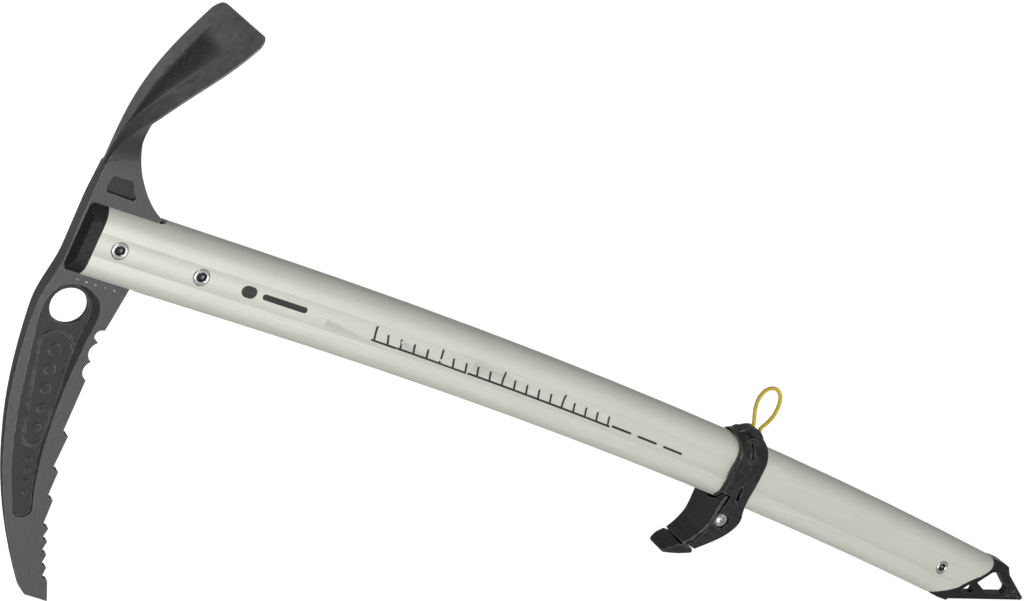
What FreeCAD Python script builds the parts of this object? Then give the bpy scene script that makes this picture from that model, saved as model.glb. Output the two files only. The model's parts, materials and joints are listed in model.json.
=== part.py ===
import FreeCAD, Part
import math
import os
import re

import Sketcher
from FreeCAD import Placement, Rotation, Vector

# Ice axe, 58 cm: steel head, waisted aluminium shaft, steel spike and a sliding finger rest.
# Millimetres.  +Z runs up the straight top of the shaft, +X is the adze side, -X the pick side,
# Y is the thickness.  The origin is the centre of the karabiner hole, on the mid-plane.
# A "depth" is the distance down the shaft's centre line from the upper head rivet.

doc = FreeCAD.newDocument("ice_axe")
sheet = doc.addObject("Spreadsheet::Sheet", "Sizes")

SIZES = {
    "shaft_width": 31.8,
    "shaft_thickness": 16.0,
    "shaft_wall": 1.5,
    "waist_half": 5.0,
    "waist_dip": 0.9,
    "shaft_axis_x": 29.6,
    "upper_rivet_z": -7.4,
    "stub_above_rivet": 10.4,
    "straight_below_rivet": 60.0,
    "bend_radius": 3500.0,
    "tube_depth": 524.5,
    "slot_width": 8.2,
    "rivet_pitch": 37.0,
    "spike_depth": 485.0,
    "spike_rivet_drop": 1.4,
    "rivet_radius": 2.8,
    "rivet_bore": 2.0,
    "flange_radius": 3.7,
    "flange_height": 0.6,
    "head_thickness": 8.0,
    "karabiner_radius": 7.8,
    "recess_floor": 2.4,
    "web_taper": 0.8,
    "tang_end": 54.0,
    "spike_thickness": 4.0,
    "slider_depth": 335.0,
    "collar_half": 11.6,
    "bore_gap": 0.9,
    "liner_height": 0.75,
    "lever_width": 15.4,
    "pivot_reach": 23.6,
    "pivot_drop": 4.2,
    "pad_thickness": 1.5,
    "pivot_radius": 1.5,
    "bush_radius": 2.6,
    "screw_head_radius": 3.6,
    "fit_gap": 0.05,
    "cord_radius": 1.0,
}

for row, (alias, value) in enumerate(SIZES.items(), start=1):
    sheet.set("A%d" % row, alias)
    sheet.set("B%d" % row, "%g" % value)
    sheet.setAlias("B%d" % row, alias)
doc.recompute()

PARTS = []
FOLDER = "parts"


def size(alias):
    """The value of one cell of the sheet."""
    return float(sheet.get(alias))


def cells(formula):
    """Turns the aliases in a formula into references to the sheet."""
    def cell(word):
        return "Sizes." + word[0] if word[0] in SIZES else word[0]
    return re.sub(r"[a-z_]+[a-z]", cell, str(formula))


def bind(feature, **formulas):
    """Binds properties of a feature to formulas of the sheet's aliases."""
    for name, formula in formulas.items():
        feature.setExpression(name, cells(formula))
    return feature


def keep(feature, label, placement=None):
    """Names a finished sub-part, places it and lists it for writing out."""
    feature.Label = label
    if placement is not None:
        feature.Placement = placement
    PARTS.append(feature)
    return feature


# ---------------------------------------------------------------- frames along the shaft


def shaft_frame(depth):
    """Placement on the shaft's centre line: local Z up the shaft, local X to the adze side."""
    straight = size("straight_below_rivet")
    radius = size("bend_radius")
    turn = max(depth - straight, 0.0) / radius
    x = size("shaft_axis_x") - radius * (1 - math.cos(turn))
    z = size("upper_rivet_z") - min(depth, straight) - radius * math.sin(turn)
    return Placement(Vector(x, 0, z), Rotation(Vector(0, 1, 0), math.degrees(turn)))


# ---------------------------------------------------------------- sketch and feature helpers


def new_body(solids=1):
    """A PartDesign body; one that holds a group of equal solids allows a compound."""
    body = doc.addObject("PartDesign::Body", "Body")
    body.AllowCompound = solids > 1
    return body


def new_sketch(body, plane, offset=0):
    """A sketch on one of the body's origin planes, moved along the plane's normal."""
    sketch = body.newObject("Sketcher::SketchObject", "Sketch")
    roles = {feature.Role: feature for feature in body.Origin.OriginFeatures}
    sketch.AttachmentSupport = [(roles[plane + "_Plane"], "")]
    sketch.MapMode = "FlatFace"
    if offset:
        sketch.AttachmentOffset.Base.z = 0
        sketch.setExpression("AttachmentOffset.Base.z", cells(offset))
    doc.recompute()
    return sketch


def dimension(sketch, kind, formula, *points):
    """Adds one driving dimension and binds it to a formula of the sheet."""
    start = sketch.evalExpression(cells(formula))
    index = sketch.addConstraint(Sketcher.Constraint(kind, *points, float(start)))
    sketch.setExpression("Constraints[%d]" % index, cells(formula))


def circle(sketch, x, y, radius):
    """A circle whose centre and radius follow formulas."""
    at = Vector(float(sketch.evalExpression(cells(x))), float(sketch.evalExpression(cells(y))), 0)
    rim = float(sketch.evalExpression(cells(radius)))
    index = sketch.addGeometry(Part.Circle(at, Vector(0, 0, 1), rim))
    dimension(sketch, "DistanceX", x, -1, 1, index, 3)
    dimension(sketch, "DistanceY", y, -1, 1, index, 3)
    dimension(sketch, "Radius", radius, index)
    return sketch


def rectangle(sketch, left, bottom, right, top):
    """A rectangle whose four sides follow formulas."""
    x0, y0, x1, y1 = [float(sketch.evalExpression(cells(side))) for side in (left, bottom, right, top)]
    corners = [Vector(x0, y0, 0), Vector(x1, y0, 0), Vector(x1, y1, 0), Vector(x0, y1, 0)]
    first = None
    for start, end in zip(corners, corners[1:] + corners[:1]):
        index = sketch.addGeometry(Part.LineSegment(start, end))
        first = index if first is None else first
    for side in range(4):
        sketch.addConstraint(Sketcher.Constraint("Coincident", first + side, 2, first + (side + 1) % 4, 1))
        sketch.addConstraint(Sketcher.Constraint("Vertical" if side % 2 else "Horizontal", first + side))
    dimension(sketch, "DistanceX", left, -1, 1, first, 1)
    dimension(sketch, "DistanceY", bottom, -1, 1, first, 1)
    dimension(sketch, "DistanceX", right, -1, 1, first + 2, 1)
    dimension(sketch, "DistanceY", top, -1, 1, first + 2, 1)
    return sketch


def outline(sketch, *steps):
    """A closed outline.  A step is a point, ("arc", middle, end) or ("curve", point, ..., end)."""
    here = None
    first = None
    for step in steps + (steps[0],):
        if step[0] == "arc":
            middle, end = Vector(*step[1], 0), Vector(*step[2], 0)
            sketch.addGeometry(Part.Arc(here, middle, end))
        elif step[0] == "curve":
            points = [here] + [Vector(*point, 0) for point in step[1:]]
            spline = Part.BSplineCurve()
            spline.interpolate(points)
            sketch.addGeometry(spline)
            end = points[-1]
        else:
            end = Vector(*step, 0)
            if here is not None and end.distanceToPoint(here) > 1e-6:
                sketch.addGeometry(Part.LineSegment(here, end))
        first = first or end
        here = end
    return sketch


def feature(body, kind, sketch, **settings):
    """A PartDesign feature of a sketch; plain values are set, texts in bound are formulas."""
    bound = settings.pop("bound", {})
    item = body.newObject("PartDesign::" + kind, kind)
    item.Profile = sketch
    for name, value in settings.items():
        setattr(item, name, value)
    bind(item, **bound)
    doc.recompute()
    sketch.Visibility = False
    return item


def pad(body, sketch, length, **settings):
    return feature(body, "Pad", sketch, bound={"Length": length}, **settings)


def pad_both(body, sketch, length):
    """A pad of that full length, half to each side of the sketch."""
    return pad(body, sketch, length, SideType="Symmetric")


def cut(body, sketch, length, **settings):
    """A pocket of a set depth, which has to take something away."""
    before = body.Shape.Volume
    item = feature(body, "Pocket", sketch, bound={"Length": length}, **settings)
    if not item.Shape.Volume < before:
        raise ValueError("pocket in %s cuts nothing" % body.Name)
    return item


def cut_through(body, sketch):
    """A pocket through everything on both sides of the sketch."""
    before = body.Shape.Volume
    item = feature(body, "Pocket", sketch, Type="ThroughAll", SideType="Symmetric")
    if not item.Shape.Volume < before:
        raise ValueError("pocket in %s cuts nothing" % body.Name)
    return item


# ---------------------------------------------------------------- shaft


def tube_outline(sketch, inset=0.0, axis_x=0.0, waist=True):
    """The shaft's waisted section, set in from the outer skin by a wall or a clearance."""
    end_radius = size("shaft_thickness") / 2 - inset
    end_centre = (size("shaft_width") - size("shaft_thickness")) / 2
    reach = end_centre + end_radius
    half = size("waist_half")
    dip = size("waist_dip")
    waist_radius = (half * half + dip * dip) / (2 * dip) + inset
    chord = half * waist_radius / (waist_radius - inset)
    depth = waist_radius - math.sqrt(waist_radius ** 2 - chord ** 2)
    top = [(axis_x - end_centre, end_radius)]
    low = [(axis_x + end_centre, -end_radius)]
    if waist:
        top = [("arc", (axis_x, end_radius - depth), (axis_x - chord, end_radius))] + top
        top = [(axis_x + chord, end_radius)] + top
        low = [("arc", (axis_x, depth - end_radius), (axis_x + chord, -end_radius))] + low
        low = [(axis_x - chord, -end_radius)] + low
    return outline(
        sketch,
        (axis_x + end_centre, -end_radius),
        ("arc", (axis_x + reach, 0), (axis_x + end_centre, end_radius)),
        *top,
        ("arc", (axis_x - reach, 0), (axis_x - end_centre, -end_radius)),
        *low,
    )


def shaft():
    """Straight tube with a long, gentle bend towards the pick side below it."""
    body = new_body()
    joint_z = "upper_rivet_z - straight_below_rivet"
    ring = new_sketch(body, "XY", joint_z)
    tube_outline(ring, 0.0, size("shaft_axis_x"))
    tube_outline(ring, size("shaft_wall"), size("shaft_axis_x"))
    pad(body, ring, "straight_below_rivet + stub_above_rivet")
    bend = new_sketch(body, "XY", joint_z)
    tube_outline(bend, 0.0, size("shaft_axis_x"))
    tube_outline(bend, size("shaft_wall"), size("shaft_axis_x"))
    centre = Vector(size("shaft_axis_x") - size("bend_radius"), 0, 0)
    axis = bend.addGeometry(Part.LineSegment(centre, centre + Vector(0, 10, 0)), True)
    dimension(bend, "DistanceX", "shaft_axis_x - bend_radius", -1, 1, axis, 1)
    feature(
        body, "Revolution", bend, ReferenceAxis=(bend, ["Axis0"]),
        bound={"Angle": "(tube_depth - straight_below_rivet) / bend_radius * 180 / 3.14159265"},
    )
    return body


def shaft_cuts(body):
    """Slot for the head, rivet holes with flat seats, and the oblique lower mouth."""
    slot = new_sketch(body, "YZ")
    half = size("slot_width") / 2
    top = size("upper_rivet_z") + size("stub_above_rivet") + 1
    floor = size("upper_rivet_z") - 16 + half
    outline(
        slot,
        (half, floor),
        (half, top),
        (-half, top),
        (-half, floor),
        ("arc", (0, floor - half), (half, floor)),
    )
    cut_through(body, slot)
    holes = new_sketch(body, "XZ")
    circle(holes, "shaft_axis_x", "upper_rivet_z", "rivet_radius + fit_gap")
    circle(holes, "shaft_axis_x", "upper_rivet_z - rivet_pitch", "rivet_radius + fit_gap")
    spike_rivet = spike_rivet_plane().Base
    outline_circle(holes, spike_rivet.x, spike_rivet.z, "rivet_radius + fit_gap")
    cut_through(body, holes)
    for side in (1, -1):
        seats = new_sketch(body, "XZ", "%d * (shaft_thickness / 2 - waist_dip)" % side)
        circle(seats, "shaft_axis_x", "upper_rivet_z", "flange_radius + 2 * fit_gap")
        circle(seats, "shaft_axis_x", "upper_rivet_z - rivet_pitch", "flange_radius + 2 * fit_gap")
        outline_circle(seats, spike_rivet.x, spike_rivet.z, "flange_radius + 2 * fit_gap")
        cut(body, seats, "shaft_thickness", Reversed=side > 0)
    lower_end = new_sketch(body, "XZ")
    lower_end.AttachmentOffset = in_side_view(spike_plane())
    mouth(lower_end)
    cut_through(body, lower_end)


def in_side_view(frame):
    """A frame's place and turn about Y, written as an offset inside the XZ plane."""
    turn = Rotation(Vector(0, 0, 1), -math.degrees(frame.Rotation.Angle))
    return Placement(Vector(frame.Base.x, frame.Base.z, 0), turn)


def outline_circle(sketch, x, y, radius):
    """A circle at a worked-out place, with a radius that is a number or follows a formula."""
    rim = float(sketch.evalExpression(cells(radius)))
    index = sketch.addGeometry(Part.Circle(Vector(x, y, 0), Vector(0, 0, 1), rim))
    dimension(sketch, "Radius", radius, index)


MOUTH = [(-15.6, -6.4), (-12.6, -8.8), (-8, -15.2), (0, -24.4), (8, -30.8), (13, -33.6), (16.4, -34.4)]


def mouth(sketch, lip=0.0):
    """The region below the tube's oblique mouth, in the spike's frame, let down by a lip."""
    edge = [(x, z - lip) for x, z in MOUTH]
    outline(sketch, (-25, -4 - lip), edge[0], ("curve", *edge[1:]), (25, -35 - lip), (25, -90), (-25, -90))


def above_mouth(sketch, gap):
    """The region above the tube's mouth, less a small gap."""
    edge = [(x, z - gap) for x, z in MOUTH]
    outline(sketch, (-25, -4 - gap), edge[0], ("curve", *edge[1:]), (25, -35 - gap), (25, 40), (-25, 40))


def spike_plane():
    """The spike's frame, on the centre line a little above the spike rivet."""
    return shaft_frame(size("spike_depth"))


def spike_rivet_plane():
    """The spike rivet's own frame."""
    return shaft_frame(size("spike_depth") + size("spike_rivet_drop"))


# ---------------------------------------------------------------- head


TEETH = [
    (-111, -38.6), (-105.3, -36.2), (-99.6, -34.1), (-93.8, -32),
    (-81.2, -28.5), (-68.6, -25.3), (-52.6, -22.6),
]
TOOTH_HEIGHT = 2.9
TOOTH_LEAN = 0.7


def head_outline(sketch):
    """Pick, web and tang in side view: spine, pick end, teeth, heel notches, heel, tang, web."""
    edge = []
    for x, z in TEETH:
        edge += [(x, z), (x + TOOTH_LEAN, z + TOOTH_HEIGHT)]
    axis = size("shaft_axis_x")
    tang = 9.5
    outline(
        sketch,
        (60, 11.2),
        (46, 11.6),
        (22, 11.2),
        ("curve", (14.5, 11.8), (6.5, 13.1), (-1.5, 13.8), (-9, 13.3), (-23, 11.5), (-38, 8.7), (-59, 2.7)),
        ("curve", (-80.5, -5.8), (-101.5, -17.1), (-122, -31)),
        (-124.9, -34.6),
        (-125.7, -45.4),
        (-116.7, -41.6),
        (-116, -38.5),
        *edge,
        (-27.4, -19.1),
        ("arc", (-24, -16.2), (-19.1, -17.7)),
        ("arc", (-16.2, -15.2), (-10.6, -17)),
        ("arc", (-8.2, -14.4), (-4.8, -17.4)),
        (13.8, -19.4),
        (axis - tang, -19.8),
        (axis - tang, -size("tang_end")),
        (axis + tang, -size("tang_end")),
        (axis + tang, -20.5),
        (46.6, -19),
        ("curve", (49.6, -14.3), (53.5, -10.1), (61.9, -3.7), (72, 0.6)),
        ("curve", (66.5, 2.2), (63.6, 5.2), (62.2, 8.6), (60, 11.2)),
    )


# Stations along the adze: place, height of the side edges, half width, rise of the crown over the
# edges, half width and depth of the dish, thickness at the edges, thickness at the keel.
ADZE = [
    (56, 11.2, 2.3, 0.2, 0.6, 0.02, 1.4, 10.0),
    (66, 10.4, 3.7, 0.4, 0.6, 0.02, 1.4, 11.0),
    (74, 8.8, 7.3, 0.5, 0.7, 0.03, 1.2, 8.4),
    (82, 6.2, 12.3, 0.7, 2.2, 0.35, 1.1, 6.6),
    (92, 2.3, 17.8, 0.9, 6.3, 1.0, 1.0, 5.4),
    (106, -4.3, 23.5, 1.0, 10.7, 1.4, 1.0, 4.4),
    (117, -10.1, 26.5, 1.0, 13.2, 1.2, 1.0, 3.6),
    (124, -13.7, 27.5, 0.9, 14.4, 0.06, 0.9, 2.8),
    (132, -17.6, 28.0, 0.7, 15.6, 0.04, 0.8, 1.4),
]
KEEL_HALF = 3.2
END_CORNER = 6.5


def adze(body):
    """The adze, lofted through its cross sections; then its end corners are rounded."""
    sections = []
    for x, edge_z, half, crown, dish_half, dish, edge, keel in ADZE:
        section = new_sketch(body, "YZ", "%g" % x)
        top = edge_z + crown
        outline(
            section,
            (-half, edge_z),
            (-dish_half, top),
            ("arc", (0, top - dish), (dish_half, top)),
            (half, edge_z),
            (half, edge_z - edge),
            (min(KEEL_HALF, 0.9 * half), top - keel),
            (-min(KEEL_HALF, 0.9 * half), top - keel),
            (-half, edge_z - edge),
        )
        sections.append(section)
    feature(body, "AdditiveLoft", sections[0], Sections=sections[1:])
    for section in sections[1:]:
        section.Visibility = False
    end = ADZE[-1][0]
    wide = ADZE[-1][2]
    inner = END_CORNER * (1 - math.sqrt(0.5))
    for side in (1, -1):
        corner = new_sketch(body, "XY")
        outline(
            corner,
            (end - END_CORNER, side * (wide + 0.2)),
            ("arc", (end - inner, side * (wide - inner)), (end, side * (wide - END_CORNER))),
            (end + 5, side * (wide - END_CORNER)),
            (end + 5, side * (wide + 9)),
            (end - END_CORNER, side * (wide + 9)),
        )
        cut_through(body, corner)


def web_sides(sketch, side):
    """What is taken off beside the web so that it thins towards the adze."""
    face = size("head_thickness") / 2
    outline(
        sketch,
        (43, side * face),
        (60, side * (face - size("web_taper"))),
        (77, side * (face - size("web_taper"))),
        (77, side * 9),
        (43, side * 9),
    )


def pick_taper(sketch, side):
    """What is ground off the pick's cheek so that it thins towards its end."""
    outline(
        sketch,
        (2, side * 4.0),
        ("curve", (-30, side * 3.0), (-62, side * 2.4), (-130, side * 1.8)),
        (-130, side * 9),
        (2, side * 9),
    )


def recess(sketch, back, front):
    """The long forged recess of the pick, round the karabiner hole at its wide end.

    The outline is drawn in by "back" along the spine and by "front" along the teeth."""
    outline(
        sketch,
        (8.6 - 0.7 * front, -6.6 + 0.5 * front),
        ("curve", (10.6 - 0.5 * front, -1), (8.4 - back, 7.2 - 0.6 * back), (0, 11 - back),
         (-14, 9.6 - back), (-41, 4 - back), (-66, -3 - back), (-88, -12.6 - back)),
        ("arc", (-92.4 + back, -19.2), (-87, -23 + 0.6 * front)),
        ("curve", (-69, -18 + 0.8 * front), (-49, -15 + front), (-33, -13.4 + front), (-15, -12.7 + front)),
        ("curve", (-2, -12.6 + front), (4.6 - 0.6 * front, -11 + 0.8 * front),
         (8.6 - 0.7 * front, -6.6 + 0.5 * front)),
    )


def head():
    """One forging: pick, adze, web and tang."""
    body = new_body()
    side_view = new_sketch(body, "XZ")
    head_outline(side_view)
    pad_both(body, side_view, "head_thickness")
    for side in (1, -1):
        taper = new_sketch(body, "XY")
        pick_taper(taper, side)
        cut_through(body, taper)
        thinned = new_sketch(body, "XY")
        web_sides(thinned, side)
        cut_through(body, thinned)
    adze(body)
    for side in (1, -1):
        face = "%d * head_thickness / 2" % side
        rim = new_sketch(body, "XZ", face)
        recess(rim, 0, 0)
        floor = new_sketch(body, "XZ", "%d * recess_floor / 2" % side)
        recess(floor, 1, 2.8)
        feature(body, "SubtractiveLoft", rim, Sections=[floor])
        floor.Visibility = False
        pocket = new_sketch(body, "XZ", face)
        web_pocket(pocket)
        cut(body, pocket, "2", Reversed=side < 0)
    hole = new_sketch(body, "XZ")
    circle(hole, "0", "0", "karabiner_radius")
    cut_through(body, hole)
    for side in (1, -1):
        raised = new_sketch(body, "XZ", "%d * recess_floor / 2" % side)
        stadium_ring(raised)
        studs(raised)
        pad(body, raised, "0.6", Reversed=side < 0)
    rivets = new_sketch(body, "XZ")
    circle(rivets, "shaft_axis_x", "upper_rivet_z", "rivet_radius + fit_gap")
    circle(rivets, "shaft_axis_x", "upper_rivet_z - rivet_pitch", "rivet_radius + fit_gap")
    cut_through(body, rivets)
    return body


def web_pocket(sketch):
    """The small four-sided pocket in the web, with rounded corners."""
    outline(
        sketch,
        (56.8, 5.0),
        ("arc", (56.5, 6.3), (55.3, 6.8)),
        (51.1, 7.1),
        ("arc", (50, 6.6), (49.6, 5.4)),
        (49.4, -4.4),
        ("arc", (50, -5.8), (51.3, -5.8)),
        (56.2, -2.4),
        ("arc", (56.8, -1.8), (57, -0.8)),
    )


def studs(sketch):
    """Two rows of plain round studs on the recess floor: five in the frame, four below it."""
    for step in range(5):
        outline_circle(sketch, -19 - 8.4 * step, -1.9 - 1.75 * step, 2.5 - 0.22 * step)
    for step in range(4):
        outline_circle(sketch, -67 - 4.6 * step, -11.6 - 1.5 * step, 1.3)


def stadium_ring(sketch):
    """A raised frame in the recess, wide at the top and narrow at the bottom."""
    for grow in (0.0, 1.1):
        outline(
            sketch,
            (-17, -8.2 - grow),
            ("arc", (-11.4 + grow, -1.4), (-17, 5.0 + grow)),
            (-56, -5.2 + grow * 1.03),
            ("arc", (-60.2 - grow, -9.2), (-56.5, -12.4 - grow * 1.03)),
        )


# ---------------------------------------------------------------- what fills the shaft's top


def top_plug(side):
    """Crowned moulding in the tube's mouth beside the head, with a spigot down the tube."""
    body = new_body()
    rim_z = "upper_rivet_z + stub_above_rivet"
    face = size("head_thickness") / 2 + size("fit_gap")
    axis = size("shaft_axis_x")
    end_centre = (size("shaft_width") - size("shaft_thickness")) / 2
    for inset, length, reversed_pad in ((0.15, 7.6, False), (1.7, 3.0, True)):
        radius = size("shaft_thickness") / 2 - inset
        lean = math.asin(face / radius)
        reach = end_centre + radius * math.cos(lean)
        diagonal = end_centre + radius * math.cos((lean + math.pi / 2) / 2)
        rise = radius * math.sin((lean + math.pi / 2) / 2)
        flat = radius - (size("waist_dip") if reversed_pad else 0)
        half = new_sketch(body, "XY", rim_z)
        outline(
            half,
            (axis + reach, side * face),
            ("arc", (axis + diagonal, side * rise), (axis + end_centre, side * radius)),
            (axis + end_centre - 3, side * flat),
            (axis - end_centre + 3, side * flat),
            (axis - end_centre, side * radius),
            ("arc", (axis - diagonal, side * rise), (axis - reach, side * face)),
        )
        pad(body, half, "%g" % length, Reversed=reversed_pad)
    top = size("upper_rivet_z") + size("stub_above_rivet") + 7.6
    crown = new_sketch(body, "YZ")
    outline(
        crown,
        (side * 20, top - 4),
        (side * 8.2, top - 4),
        ("arc", (side * 7.0, top - 1.2), (side * (face - 0.02), top - 0.02)),
        (side * (face - 0.02), top + 5),
        (side * 20, top + 5),
    )
    cut_through(body, crown)
    ends = new_sketch(body, "XZ")
    outline(
        ends,
        (axis - 20, top - 5),
        (axis - 16.2, top - 5),
        ("arc", (axis - 14.6, top - 1.3), (axis - 11, top)),
        (axis - 11, top + 5),
        (axis - 20, top + 5),
    )
    outline(
        ends,
        (axis + 20, top - 5),
        (axis + 16.2, top - 5),
        ("arc", (axis + 14.6, top - 1.3), (axis + 11, top)),
        (axis + 11, top + 5),
        (axis + 20, top + 5),
    )
    cut_through(body, ends)
    return body


def tang_shim(side):
    """Flat strip between the tang and the tube's waist, with the two rivet holes."""
    body = new_body()
    face = size("head_thickness") / 2 + size("fit_gap")
    skin = size("shaft_thickness") / 2 - size("waist_dip") - size("shaft_wall") - 3 * size("fit_gap")
    strip = new_sketch(body, "XZ", "%d * (head_thickness / 2 + fit_gap)" % -side)
    top = "upper_rivet_z + stub_above_rivet - 3.4"
    rectangle(strip, "shaft_axis_x - 9", "-tang_end", "shaft_axis_x + 9", top)
    pad(body, strip, "%g" % (skin - face), Reversed=side > 0)
    holes = new_sketch(body, "XZ")
    circle(holes, "shaft_axis_x", "upper_rivet_z", "rivet_radius + fit_gap")
    circle(holes, "shaft_axis_x", "upper_rivet_z - rivet_pitch", "rivet_radius + fit_gap")
    cut_through(body, holes)
    return body


# ---------------------------------------------------------------- rivets


def rivet_profile(sketch, core):
    """Half section of a tubular rivet with two rolled rims, or of the core inside it."""
    seat = size("shaft_thickness") / 2 - size("waist_dip")
    bore = size("rivet_bore")
    shank = size("rivet_radius")
    rim = size("flange_radius")
    top = seat + size("flange_height")
    if core:
        radius = bore - size("fit_gap")
        end = seat - 0.6
        outline(
            sketch,
            (0, -end + 0.5),
            (radius - 0.5, -end),
            (radius, -end + 0.4),
            (radius, end - 0.4),
            (radius - 0.5, end),
            (0, end - 0.5),
        )
        return
    roll = (bore + rim) / 2
    outline(
        sketch,
        (bore, -top + 0.3),
        ("arc", (roll, -top), (rim, -seat)),
        (shank, -seat),
        (shank, seat),
        (rim, seat),
        ("arc", (roll, top), (bore, top - 0.3)),
    )


def rivet(count, core=False):
    """Rivets, or their cores, turned about an axis along Y; a second one stands a pitch lower."""
    body = new_body(count)
    section = new_sketch(body, "XY")
    rivet_profile(section, core)
    turn_about_y(body, section)
    if count > 1:
        pattern = body.newObject("PartDesign::LinearPattern", "Pitch")
        pattern.Originals = [body.Tip]
        plane = [item for item in body.Origin.OriginFeatures if item.Role == "Z_Axis"][0]
        pattern.Direction = (plane, [""])
        pattern.Reversed = True
        pattern.Occurrences = count
        bind(pattern, Length="rivet_pitch")
        body.Tip = pattern
        doc.recompute()
    return body


# ---------------------------------------------------------------- spike end


def spike():
    """Steel point: a plate with two windows, and the tang that goes up into the tube."""
    body = new_body()
    plate = new_sketch(body, "XZ")
    outline(
        plate,
        (8, 14),
        (8, -27.5),
        (11.1, -44.6),
        (14.6, -47.8),
        (14.4, -49.6),
        (11.4, -53),
        (4.2, -69.6),
        ("arc", (3.1, -70.8), (1.9, -69.6)),
        (-15, -21.5),
        (-8.2, -24.6),
        (-8, -11),
        (-8, 14),
    )
    pad_both(body, plate, "spike_thickness")
    windows = new_sketch(body, "XZ")
    outline(
        windows,
        (0.2, -35.6),
        (8.4, -41),
        ("arc", (10, -42.7), (10.1, -45.2)),
        (8.1, -48.6),
        (5.2, -54.6),
        ("arc", (3.4, -56.8), (1.2, -56.4)),
        (-2.7, -45.5),
    )
    outline(windows, (-7.2, -28.4), (-2.7, -31.2), (-3.8, -36), (-5.5, -36.4), (-7.8, -31))
    rivet_hole(windows)
    cut_through(body, windows)
    return body


def rivet_hole(sketch):
    """The spike rivet's hole in the spike's frame."""
    circle(sketch, "0", "-spike_rivet_drop", "rivet_radius + fit_gap")


def spike_plug():
    """Moulding that closes the tube's oblique mouth round the spike's tang."""
    body = new_body()
    lip = 1.9
    rim = new_sketch(body, "XY", "5")
    tube_outline(rim, 0.25)
    pad(body, rim, "60", Reversed=True)
    above = new_sketch(body, "XZ")
    above_mouth(above, 0.1)
    cut_through(body, above)
    spigot = new_sketch(body, "XY", "12")
    tube_outline(spigot, size("shaft_wall") + 0.25)
    pad(body, spigot, "72", Reversed=True)
    below = new_sketch(body, "XZ")
    mouth(below, lip)
    cut_through(body, below)
    ends = new_sketch(body, "XZ")
    plug_heel(ends)
    plug_chin(ends)
    pad_both(body, ends, "spike_thickness + 3.2")
    tang = new_sketch(body, "XZ")
    outline(
        tang,
        (8.1, 14.1),
        (8.1, -27.4),
        (11.2, -44.5),
        (14.7, -47.7),
        (25, -52),
        (25, -80),
        (-25, -80),
        (-25, -21.4),
        (-15, -21.4),
        (-8.3, -24.5),
        (-8.1, -11),
        (-8.1, 14.1),
    )
    cut(body, tang, "spike_thickness + 2 * fit_gap", SideType="Symmetric")
    holes = new_sketch(body, "XZ")
    rivet_hole(holes)
    cut_through(body, holes)
    return body


def plug_heel(sketch):
    """The part of the plug that reaches down over the plate's shoulder."""
    outline(
        sketch,
        (6, -30.2),
        (8.6, -38.6),
        (11, -44.9),
        (14.9, -48.2),
        ("curve", (15.7, -45), (15.9, -40), (15.5, -35)),
        (13, -34.4),
        (8, -31.4),
    )


def plug_chin(sketch):
    """The wedge of the plug on the pick side."""
    outline(sketch, (-15.4, -8.4), (-15.6, -14), (-15.2, -21.2), (-8.2, -24.4), (-5.5, -20), (-9, -14))


# ---------------------------------------------------------------- sliding finger rest
# All of its pieces are drawn in the slider's own frame: X outwards to the adze, Z up the shaft.


# The ends of the two slots that go through each side of the collar.
UPPER_SLOT = ((15.2, 2.0), (10.0, -0.4))
LOWER_SLOT = ((-5.4, -3.6), (-11.2, -5.2))


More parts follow.
